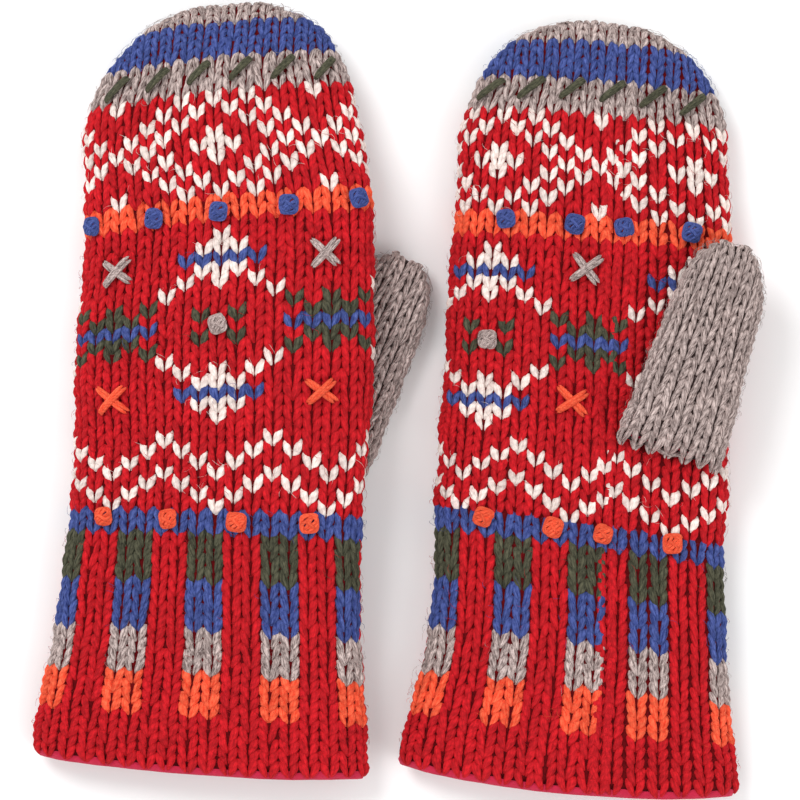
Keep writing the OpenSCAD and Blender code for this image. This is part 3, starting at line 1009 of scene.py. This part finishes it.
def make_mitten(side):
    """Knitting in three lengths, a dark under-sheet of painted gap shade, the lining, the seam and loose fibres.
    """
    tube = mitten_tube(side)
    cuff = knit(f"{side}_cuff_knitting", tube, mitten_stitches(side, tube, range(CUFF_ROWS)))
    hand = knit(f"{side}_hand_knitting", tube,
                mitten_stitches(side, tube, range(CUFF_ROWS, FOLD_ROW)))
    top = knit(f"{side}_finger_knitting", tube,
               mitten_stitches(side, tube, range(FOLD_ROW, MITTEN_ROWS)))
    # A dark under-sheet whose colour is painted shade for the gaps between stitches
    backing = join_piece(f"{side}_backing", [skin(tube, backing_path(MITTEN_ROWS, 1.7, 2.3))],
                         RED_GAP_SHADE)
    lining = join_piece(
        f"{side}_lining",
        [skin(tube, lining_path(-0.5, MITTEN_ROWS - 3, 2.9, 4.2, 1.3), 0.45 * MM)], LINING)
    thread = seam_thread(side, tube)

    def yarn_under(face, row, column):
        number = column_number(side, int(face), round(float(column)))
        return YARN_NAMES.index(yarn_at(side, int(row), number))

    fibres = loose_fibres(f"{side}_loose_fibres", tube, 2600, yarn_under)
    for piece in (cuff, hand, top, backing, lining, thread, fibres):
        over_fold(piece, side)
    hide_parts(f"{side}_hand_shell", f"{side}_knuckle_shell", f"{side}_finger_shell")
    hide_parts(f"{side}_hand_lining", f"{side}_knuckle_lining", f"{side}_finger_lining")
    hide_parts(f"{side}_hand_seam", f"{side}_finger_seam")


def make_thumb(side):
    """A thumb's knitting, a dark under-sheet of painted gap shade, lining and loose fibres, blended at its root.
    """
    tube = thumb_tube(side)
    thumb = knit(f"{side}_thumb_knitting", tube, thumb_stitches(tube))
    # A dark under-sheet whose colour is painted shade for the gaps between stitches
    backing = join_piece(f"{side}_thumb_backing", [skin(tube, backing_path(THUMB_ROWS, 1.7, 2.3))],
                         GREY_GAP_SHADE)
    lining = join_piece(f"{side}_thumb_lining_skin",
                        [skin(tube, lining_path(0.8, THUMB_ROWS - 2, 2.9, 4.0, 0.0))], LINING)
    grey = YARN_NAMES.index("grey")
    fibres = loose_fibres(f"{side}_thumb_fibres", tube, 800,
                          lambda face, row, column: grey)
    for piece in (thumb, backing, lining, fibres):
        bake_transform(piece)
    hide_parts(f"{side}_thumb_shell")
    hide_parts(f"{side}_thumb_lining")


def make_thumb_ring(side):
    """The picked-up stitches round the thumb hole, as four turns of grey yarn."""
    low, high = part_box(f"{side}_thumb_ring")
    middle = np.array((low + high) / 2)
    axis = np.array(joint(f"{side}_thumb_swing")["axis"])
    across = np.cross(axis, (0, 1, 0))
    around = np.linspace(0, 2 * math.pi, 49)
    meshes = []
    for step in (-2.7, -0.9, 0.9, 2.7):
        path = (middle + axis * step * MM
                + np.outer(np.cos(around), across) * (HOLE_RADIUS - 1.1 * MM)
                + np.outer(np.sin(around), (0, 1, 0)) * (HOLE_RADIUS - 1.1 * MM))
        meshes.append(yarn(path, 0.95 * MM, axis, 48, taper=0.01))
    ring = join_piece(f"{side}_thumb_ring_yarn", meshes, YARNS["grey"])
    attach(ring, f"{side}_palm")
    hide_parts(f"{side}_thumb_ring")


def make_embroidery(side):
    """The sewn knots, crosses and slanted stitches, each group on the body it rides."""
    def knots(foot, normal, _):
        return knot_meshes(foot, normal, row_way(side, foot, normal))

    def crosses(foot, normal, _):
        return cross_meshes(foot, normal, row_way(side, foot, normal))

    for what, yarn_name, slot, make in (
        ("orange_knots", "orange", "orange_wool", knots),
        ("grey_knots", "grey", "heather_grey_wool", knots),
        ("grey_crosses", "grey", "heather_grey_wool", crosses),
        ("orange_crosses", "orange", "orange_wool", crosses),
    ):
        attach(embroider(side, what, yarn_name, make), f"{side}_palm")
    over_fold(embroider(side, "blue_knots", "blue", knots), side)
    whips = embroider(side, "tip_whip_stitches", "green", whip_meshes)
    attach(whips, f"{side}_fingers")


for side in ("left", "right"):
    make_mitten(side)
    make_thumb(side)
    make_thumb_ring(side)
    make_embroidery(side)

FLOOR_HALF = 3.0
floor = bmesh.new()
bmesh.ops.create_grid(floor, x_segments=1, y_segments=1, size=FLOOR_HALF)
floor_mesh = bpy.data.meshes.new("floor")
floor.to_mesh(floor_mesh)
floor.free()
floor_mesh.materials.append(painted_floor())
floor_piece = bpy.data.objects.new("floor", floor_mesh)
bpy.context.scene.collection.objects.link(floor_piece)

view = bpy.context.scene.view_settings
view.view_transform = "Standard"
view.look = "None"
